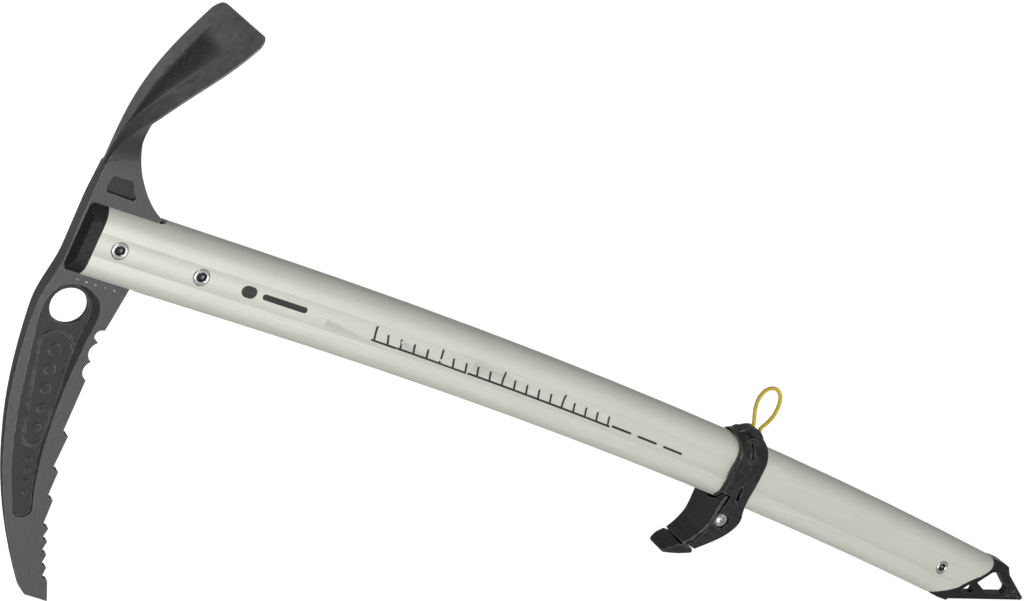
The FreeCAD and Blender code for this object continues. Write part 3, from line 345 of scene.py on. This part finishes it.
def finger_rubber():
    """Rubber face with rows of small pips, with painted shade between the pips and pale edges painted as
    wear and as edge highlights.
    """
    item = Material("finger_rubber")
    pip_size = 0.9 * MM
    rows = item.stretched((1, 1, 0.4))
    pips = item.node("TexVoronoi", Vector=rows, Scale=1 / pip_size, Randomness=0.25)
    grain = item.noise(0.3 * MM, 4, 0.7)
    # Painted shade: the tone follows the pips' height, darker between them and lighter on their tops.
    height = item.ramp(pips.outputs["Distance"], (0.1, 1.0), (0.5, 0.0))
    tone = item.mix(height, (0.022, 0.022, 0.023), (0.052, 0.052, 0.054))
    # Edges painted much paler, as wear and as painted edge highlights.
    edge_wear_and_highlight = item.edge_wear_and_highlight_mask(0.9 * MM, item.noise(4 * MM, 3, 0.6))
    rubbed_and_lit = (0.26, 0.26, 0.265)
    tone = item.mix(edge_wear_and_highlight, tone, rubbed_and_lit)
    pip_relief = item.bump(height, 0.45, 0.1 * MM)
    return item.finish(
        Base_Color=tone, Roughness=item.ramp(grain, (0.3, 0.5), (0.7, 0.72)), Specular_IOR_Level=0.35,
        Normal=item.bump(grain, 0.3, 0.04 * MM, pip_relief),
    )


def bare_metal(name, tint, smooth, rough, grain_size, stain):
    """Bare metal with fine turning marks, small pits and a dull stain."""
    item = Material(name)
    marks = item.noise(grain_size, 4, 0.6, stretch=(1, 0.3, 1))
    pits = item.ramp(item.noise(0.5 * MM, 3, 0.6), (0.62, 0.0), (0.72, 1.0))
    dull = item.noise(3 * MM, 4, 0.6)
    stained = tuple(0.45 * part for part in tint)
    tone = item.mix(item.times(dull, stain), tint, stained)
    pit_floor = (0.12, 0.12, 0.12)
    tone = item.mix(item.times(pits, 0.4), tone, pit_floor)
    return item.finish(
        Base_Color=tone, Metallic=1.0, Roughness=item.ramp(marks, (0.3, smooth), (0.7, rough)),
        Normal=item.bump(marks, 0.25, 0.02 * MM),
    )


def black_ink():
    """Printed ink: nearly black, slightly uneven and rubbed thin in places."""
    item = Material("black_ink")
    thin = item.ramp(item.noise(1.1 * MM, 4, 0.7), (0.62, 0.0), (0.74, 1.0))
    tone = item.mix(item.times(thin, 0.35), (0.012, 0.012, 0.013), (0.13, 0.13, 0.12))
    grain = item.noise(0.25 * MM, 3, 0.6)
    return item.finish(
        Base_Color=tone, Roughness=item.ramp(grain, (0.3, 0.35), (0.7, 0.6)),
        Normal=item.bump(grain, 0.2, 0.01 * MM),
    )


def yellow_cord():
    """Polyester braid: yellow yarn with painted shade in the grooves between strands, and a little soiling.
    """
    item = Material("yellow_cord")
    braid = item.tree.nodes.new("ShaderNodeVertexColor")
    braid.layer_name = "braid"
    yarn = item.noise(0.09 * MM, 3, 0.7, stretch=(1, 1, 0.5))
    tone = item.mix(yarn, (0.60, 0.46, 0.015), (0.86, 0.70, 0.05))
    # Painted shade: the braid layer darkens the grooves between the strands.
    groove = (0.30, 0.22, 0.012)
    tone = item.mix(braid.outputs["Color"], groove, tone)
    soil = item.ramp(item.noise(3 * MM, 4, 0.6), (0.5, 0.0), (0.75, 1.0))
    soiled = (0.33, 0.26, 0.06)
    tone = item.mix(item.times(soil, 0.3), tone, soiled)
    return item.finish(
        Base_Color=tone, Roughness=item.ramp(yarn, (0.3, 0.6), (0.7, 0.85)), Sheen_Weight=0.2,
        Normal=item.bump(yarn, 0.5, 0.05 * MM),
    )


def pale_floor():
    """Matt white paper with a glow that only the camera sees, so that it doesn't light the axe."""
    item = Material("floor_paper")
    fibre = item.noise(4 * MM, 3, 0.6)
    seen = item.node("LightPath").outputs["Is Camera Ray"]
    glow = 0.72
    return item.finish(
        Base_Color=item.mix(fibre, (0.80, 0.80, 0.80), (0.84, 0.84, 0.84)), Roughness=0.95,
        Emission_Color=(1.0, 1.0, 1.0), Emission_Strength=item.times(seen, glow),
    )


# ---------------------------------------------------------------- where things are


ARC = Vector(joints["slider_travel"]["pos_m"])
RIVET_LOW, RIVET_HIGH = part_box("head_rivets")
RIVET_RADIUS = (RIVET_HIGH.x - RIVET_LOW.x) / 2
AXIS_X = RIVET_LOW.x + RIVET_RADIUS
RIVET_Z = RIVET_HIGH.z - RIVET_RADIUS
BEND_RADIUS = AXIS_X - ARC.x


def on_shaft(depth, across):
    """The mid-plane point at a depth below the upper rivet, and so far to the adze side."""
    straight = min(depth, RIVET_Z - ARC.z)
    turn = (depth - straight) / BEND_RADIUS
    reach = BEND_RADIUS + across
    return Vector((ARC.x + reach * math.cos(turn), 0, RIVET_Z - straight - reach * math.sin(turn)))


def skin_of(name):
    """A search tree of one CAD node's surface."""
    mesh = nodes[name].data
    points = [vertex.co for vertex in mesh.vertices]
    return BVHTree.FromPolygons(points, [tuple(polygon.vertices) for polygon in mesh.polygons])


# ---------------------------------------------------------------- small pieces made here


def new_piece(name, vertices, faces, material, smooth=True):
    mesh = bpy.data.meshes.new(name)
    mesh.from_pydata([tuple(point) for point in vertices], [], faces)
    mesh.materials.append(material)
    for polygon in mesh.polygons:
        polygon.use_smooth = smooth
    piece = bpy.data.objects.new(name, mesh)
    bpy.context.scene.collection.objects.link(piece)
    return piece


def ring_faces(base, around):
    """Quads between one ring of points, which starts at index base, and the next ring."""
    faces = []
    for step in range(around):
        here = base + step
        beside = base + (step + 1) % around
        faces.append((here, beside, beside + around, here + around))
    return faces


def clean(piece):
    """Merges doubled points and turns every face outwards."""
    same_place = 0.002 * MM
    work = bmesh.new()
    work.from_mesh(piece.data)
    bmesh.ops.remove_doubles(work, verts=work.verts, dist=same_place)
    bmesh.ops.dissolve_degenerate(work, edges=work.edges, dist=same_place)
    bmesh.ops.recalc_face_normals(work, faces=work.faces)
    work.to_mesh(piece.data)
    work.free()


def bar(start, end, width):
    """A bar with round ends between two (depth, across) points, as rows of points across it."""
    along = Vector((end[0] - start[0], end[1] - start[1]))
    length = along.length
    along.normalize()
    aside = Vector((-along.y, along.x))
    radius = width / 2
    end_angles = [math.radians(angle) for angle in range(0, 91, 15)]
    row_gap = 1.5 * MM
    steps = max(int(length / row_gap), 1)
    stations = [(-radius * math.cos(angle), radius * math.sin(angle)) for angle in end_angles]
    stations += [(length * step / steps, radius) for step in range(steps + 1)]
    stations += [(length + radius * math.sin(angle), radius * math.cos(angle)) for angle in end_angles]
    rows = []
    for place, half in stations:
        middle = Vector(start) + along * place
        rows.append([middle + aside * (half * share) for share in (-1, -0.5, 0, 0.5, 1)])
    return rows


def ink_faces(base, tall, wide):
    """Faces of two stacked grids of points, tall by wide, and of the wall between their rims."""
    count = tall * wide
    faces = []
    for row in range(tall - 1):
        for column in range(wide - 1):
            corner = base + row * wide + column
            corners = (corner, corner + 1, corner + wide + 1, corner + wide)
            faces.append(corners)
            faces.append(tuple(index + count for index in reversed(corners)))
    rim = [row * wide for row in range(tall)]
    rim += [(tall - 1) * wide + column for column in range(1, wide)]
    rim += [row * wide + wide - 1 for row in reversed(range(tall - 1))]
    rim += list(reversed(range(1, wide - 1)))
    for first, second in zip(rim, rim[1:] + rim[:1]):
        faces.append((base + second, base + first, base + first + count, base + second + count))
    return faces


def print_on_shaft(name, shapes, skin, material):
    """Thin ink on the shaft's near face, laid on its waisted surface."""
    lift = 0.05 * MM
    well_outside = -50 * MM
    inwards = Vector((0, 1, 0))
    vertices = []
    faces = []
    for rows in shapes:
        faces += ink_faces(len(vertices), len(rows), len(rows[0]))
        for layer in (lift, -lift):
            for depth, across in (point for row in rows for point in row):
                place = on_shaft(depth, across)
                hit = skin.ray_cast(Vector((place.x, well_outside, place.z)), inwards)[0]
                vertices.append(hit - inwards * layer)
    piece = new_piece(name, vertices, faces, material, smooth=False)
    clean(piece)
    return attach(piece, "axe")


def sign_shapes():
    """A dot and a bar after it, on the shaft's middle line."""
    across = 0.2 * MM
    dot = bar((58.4 * MM, across), (60.2 * MM, across), 5.2 * MM)
    dash = bar((67 * MM, across), (86 * MM, across), 2.6 * MM)
    return [dot, dash]


def scale_shapes():
    """A base line with leaning ticks, every fifth one longer."""
    ticks = 20
    first_tick = 122
    tick_run = 131
    tick_foot = -2.0
    shapes = [bar((121 * MM, -2.6 * MM), (254 * MM, -2.6 * MM), 0.9 * MM)]
    for tick in range(ticks):
        depth = (first_tick + tick_run * tick / (ticks - 1)) * MM
        tall = 5.6 if tick % 5 == 0 else 3.4
        foot = (depth, tick_foot * MM)
        head = (depth - 1.2 * MM, (tick_foot + tall) * MM)
        shapes.append(bar(foot, head, 1.0 * MM))
    return shapes


def stroke_shapes():
    """Three short strokes in a line below the scale."""
    across = -2.0 * MM
    shapes = []
    for stroke in range(3):
        depth = (256 + 16 * stroke) * MM
        shapes.append(bar((depth, across), (depth + 11 * MM, across), 1.0 * MM))
    return shapes


def shaft_prints(material):
    """The generic marks on the shaft's near face."""
    skin = skin_of("shaft")
    print_on_shaft("print_dot", sign_shapes(), skin, material)
    print_on_shaft("print_scale", scale_shapes(), skin, material)
    print_on_shaft("print_strokes", stroke_shapes(), skin, material)


def domes(name, places, direction, radius, height, material):
    """Small raised dots where rays in one direction meet the head."""
    skin = skin_of("head")
    around = 14
    profile = ((1.0, -0.3), (0.86, 0.6), (0.45, 1.0))
    vertices = []
    faces = []
    for place in places:
        hit, normal = skin.ray_cast(place, direction)[:2]
        if normal.dot(direction) > 0:
            normal = -normal
        turn = normal.to_track_quat("Z", "Y").to_matrix()
        base = len(vertices)
        for radius_share, height_share in profile:
            for step in range(around):
                angle = FULL_TURN * step / around
                reach = radius_share * radius
                spot = Vector((math.cos(angle) * reach, math.sin(angle) * reach, height_share * height))
                vertices.append(hit + turn @ spot)
        top = base + 2 * around
        faces += ring_faces(base, around) + ring_faces(base + around, around)
        faces.append(tuple(range(top, top + around)))
        faces.append(tuple(reversed(range(base, base + around))))
    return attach(new_piece(name, vertices, faces, material), "axe")


def head_dots(material):
    """A rosette of dots in the adze's dish and a row of dots beside the karabiner hole."""
    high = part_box("head")[1]
    centre = Vector((high.x - 25.5 * MM, 5 * MM, high.z + 20 * MM))
    lengthwise = 1.08
    rosette = [centre]
    for count, reach in ((6, 2.7), (12, 5.2), (18, 7.7)):
        for step in range(count):
            angle = FULL_TURN * step / count
            offset = Vector((reach * lengthwise * math.cos(angle), reach * math.sin(angle), 0)) * MM
            rosette.append(centre + offset)
    domes("adze_rosette", rosette, Vector((0, 0, -1)), 0.75 * MM, 0.22 * MM, material)
    well_outside = 30 * MM
    for side, name in ((-1, "cheek_dots_near"), (1, "cheek_dots_far")):
        row = [Vector((12.4 * MM, side * well_outside, (2.5 - 4.1 * step) * MM)) for step in range(5)]
        domes(name, row, Vector((0, -side, 0)), 0.8 * MM, 0.12 * MM, material)


# ---------------------------------------------------------------- the cord


SWING = Vector(joints["cord_swing"]["pos_m"])
UP = Vector(joints["cord_swing"]["axis"])
OUT = Vector((UP.z, 0, -UP.x))

# The loop's middle line in mm, out from the line between its roots and up along the shaft. It starts and
# ends inside the collar.
CORD_LINE = [
    (-4.8, 1.0), (-2.4, 1.0), (0, 1.0), (2.6, 2.4), (6.2, 4.6), (10.2, 6.1), (13.7, 6.4),
    (17, 5.4), (19.1, 3.2), (19.8, 0.2), (18.7, -3), (16, -5.4), (12.7, -6.6), (8.8, -7.1),
    (6.2, -6.8), (2.6, -5.7), (0, -4.4), (-2.4, -4.4), (-4.8, -4.4),
]
CORD_STEPS = 24             # rings of points between two places of the line
CORD_AROUND = 24            # points in a ring
CORD_RADIUS = 0.93 * MM
GROOVE_RADIUS = 0.9         # share of the radius at the bottom of a groove
STRAND_SWELL = 0.13         # and what a strand adds to it
# The grooves' colour is painted shade.
GROOVE_SHADE_EDGE = 0.7           # strand height under which the colour is the groove's
STRANDS = 6
LAY = 4.2 * MM              # length of one turn of a strand


def cord_point(out, up):
    """A point from the middle of the cord's roots, out from the shaft and up along it, in mm."""
    return SWING + (OUT * out + UP * up) * MM


def smooth_path(points, pieces):
    """Points along a smooth curve through the given ones."""
    path = []
    padded = [points[0] * 2 - points[1]] + points + [points[-1] * 2 - points[-2]]
    for before, start, end, after in zip(padded, padded[1:], padded[2:], padded[3:]):
        for step in range(pieces):
            share = step / pieces
            path.append(0.5 * (2 * start + (end - before) * share
                               + (2 * before - 5 * start + 4 * end - after) * share ** 2
                               + (3 * start - before - 3 * end + after) * share ** 3))
    return path + [points[-1]]


def strand_height(angle, travelled):
    """How high the braid stands at a place round and along the cord: 1 on a strand, less in a groove."""
    turn = STRANDS / 2 * angle
    twist = math.pi * STRANDS * travelled / LAY
    return max(abs(math.sin(turn + twist)), abs(math.sin(turn - twist)))


def braid_surface(path):
    """Rings of points round the path that swell over the strands, and each point's strand height."""
    aside = Vector((0, 1, 0))
    vertices = []
    heights = []
    travelled = 0.0
    for index, point in enumerate(path):
        before = path[max(index - 1, 0)]
        after = path[min(index + 1, len(path) - 1)]
        along = (after - before).normalized()
        travelled += (point - before).length
        rise = along.cross(aside).normalized()
        for step in range(CORD_AROUND):
            angle = FULL_TURN * step / CORD_AROUND
            height = strand_height(angle, travelled)
            grow = CORD_RADIUS * (GROOVE_RADIUS + STRAND_SWELL * height)
            vertices.append(point + (aside * math.cos(angle) + rise * math.sin(angle)) * grow)
            heights.append(height)
    return vertices, heights


def cord(material):
    """The braided loop and its two ends in one piece; the ends stay in the collar."""
    path = smooth_path([cord_point(out, up) for out, up in CORD_LINE], CORD_STEPS)
    vertices, heights = braid_surface(path)
    last_ring = (len(path) - 1) * CORD_AROUND
    faces = []
    for base in range(0, last_ring, CORD_AROUND):
        faces += ring_faces(base, CORD_AROUND)
    faces.append(tuple(reversed(range(CORD_AROUND))))
    faces.append(tuple(range(last_ring, last_ring + CORD_AROUND)))
    piece = new_piece("cord", vertices, faces, material)
    # The braid layer holds painted shade: 0 in the grooves between strands, 1 on the strands.
    colours = piece.data.color_attributes.new("braid", "FLOAT_COLOR", "POINT")
    for index, height in enumerate(heights):
        shade = (height - GROOVE_SHADE_EDGE) / (1 - GROOVE_SHADE_EDGE)
        value = min(max(shade, 0.0), 1.0)
        colours.data[index].color = (value, value, value, 1)
    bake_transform(piece)
    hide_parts("cord_loop", "cord_tails")


# ---------------------------------------------------------------- camera, light and floor


CAMERA_PLACE = Vector((0.25235, -0.80907, 0.35159))
CAMERA_RIGHT = Vector((0.43643, -0.42553, -0.79275))
CAMERA_UP = Vector((0.87871, 0.39097, 0.27389))
CAMERA_BACK = CAMERA_RIGHT.cross(CAMERA_UP).normalized()
CAMERA_LENS = 80.0
CAMERA_SENSOR = 36.0
WORLD_LIGHT = 0.30
FLOOR_SIZE = 30


def add_camera():
    """A camera above the axe's near side, turned so that the shaft lies across the picture."""
    data = bpy.data.cameras.new("camera")
    data.lens = CAMERA_LENS
    data.sensor_width = CAMERA_SENSOR
    camera = bpy.data.objects.new("camera", data)
    bpy.context.scene.collection.objects.link(camera)
    turn = Matrix((CAMERA_RIGHT, CAMERA_UP, CAMERA_BACK)).transposed()
    camera.matrix_world = Matrix.Translation(CAMERA_PLACE) @ turn.to_4x4()
    bpy.context.scene.camera = camera


def add_light(name, place, target, size, watts):
    """A round soft lamp that shines at the target."""
    data = bpy.data.lights.new(name, "AREA")
    data.shape = "DISK"
    data.size = size
    data.energy = watts
    light = bpy.data.objects.new(name, data)
    bpy.context.scene.collection.objects.link(light)
    light.location = place
    light.rotation_mode = "QUATERNION"
    light.rotation_quaternion = (Vector(target) - Vector(place)).to_track_quat("-Z", "Y")


def add_world():
    world = bpy.data.worlds.new("studio")
    world.use_nodes = True
    background = world.node_tree.nodes["Background"]
    background.inputs["Color"].default_value = (1, 1, 1, 1)
    background.inputs["Strength"].default_value = WORLD_LIGHT
    bpy.context.scene.world = world


def add_studio():
    """White surroundings, three lamps that all stand above the floor, and the floor under the spike."""
    add_world()
    low, high = cad_box
    centre = (low + high) / 2
    key_side = CAMERA_BACK * 0.85 - CAMERA_UP * 0.62 + CAMERA_RIGHT * 0.3
    fill_side = CAMERA_BACK * 0.9 + CAMERA_UP * 0.5
    rear_side = Vector((-0.3, 2.2, 0.25))
    add_light("key", centre + key_side * 4.0, centre, size=1.4, watts=142)
    add_light("fill", centre + fill_side * 1.8, centre, size=0.9, watts=4.5)
    add_light("rear", centre + rear_side, centre, size=1.2, watts=9)
    bpy.ops.mesh.primitive_plane_add(size=FLOOR_SIZE, location=(centre.x, 0, low.z))
    floor = bpy.context.active_object
    floor.name = "floor"
    floor.data.materials.append(pale_floor())


# ---------------------------------------------------------------- every piece gets its finish


def paint_mouldings():
    gloss = moulded("gloss_plastic", dark=0.004, light=0.0075, smooth=0.18, rough=0.34,
                    grain_size=0.35 * MM, depth=0.02 * MM, edge_wear_and_highlight_amount=0.1)
    nylon = moulded("glass_filled_nylon", dark=0.004, light=0.019, smooth=0.22, rough=0.5,
                    grain_size=0.45 * MM, depth=0.18 * MM, edge_wear_and_highlight_amount=1.0)
    acetal = moulded("dark_acetal", dark=0.03, light=0.05, smooth=0.35, rough=0.5,
                     grain_size=0.3 * MM, depth=0.01 * MM, edge_wear_and_highlight_amount=0.1)
    paint(gloss, "top_plug_near", "top_plug_far", "spike_plug", "cord_stopper")
    paint(nylon, "slider_collar", "hook_lever", "hook_tip_cap")
    paint(acetal, "slider_liners", "pivot_washers", "tang_shim_near", "tang_shim_far")
    paint(finger_rubber(), "finger_pad", "brake_shoe")


def paint_fasteners():
    rivet = bare_metal("rivet_steel", (0.72, 0.71, 0.70), smooth=0.16, rough=0.32,
                       grain_size=0.3 * MM, stain=0.5)
    core = bare_metal("rivet_core", (0.09, 0.09, 0.10), smooth=0.3, rough=0.5,
                      grain_size=0.3 * MM, stain=0.6)
    zinc = bare_metal("zinc_plate", (0.78, 0.78, 0.76), smooth=0.12, rough=0.3,
                      grain_size=0.25 * MM, stain=0.4)
    bronze = bare_metal("bearing_bronze", (0.60, 0.42, 0.20), smooth=0.25, rough=0.4,
                        grain_size=0.3 * MM, stain=0.5)
    wire = bare_metal("spring_wire", (0.42, 0.42, 0.43), smooth=0.2, rough=0.35,
                      grain_size=0.2 * MM, stain=0.5)
    paint(rivet, "head_rivets", "spike_rivet")
    paint(core, "head_rivet_cores", "spike_rivet_core")
    paint(zinc, "pivot_screw", "pivot_nut")
    paint(bronze, "pivot_bush")
    paint(wire, "lever_spring")


add_camera()
add_studio()
bpy.context.scene.view_settings.view_transform = "Standard"

steel = black_steel()
paint(steel, "head")
paint(satin_aluminium(), "shaft")
paint(spike_steel(), "spike")
paint_mouldings()
paint_fasteners()
cord(yellow_cord())
shaft_prints(black_ink())
head_dots(steel)
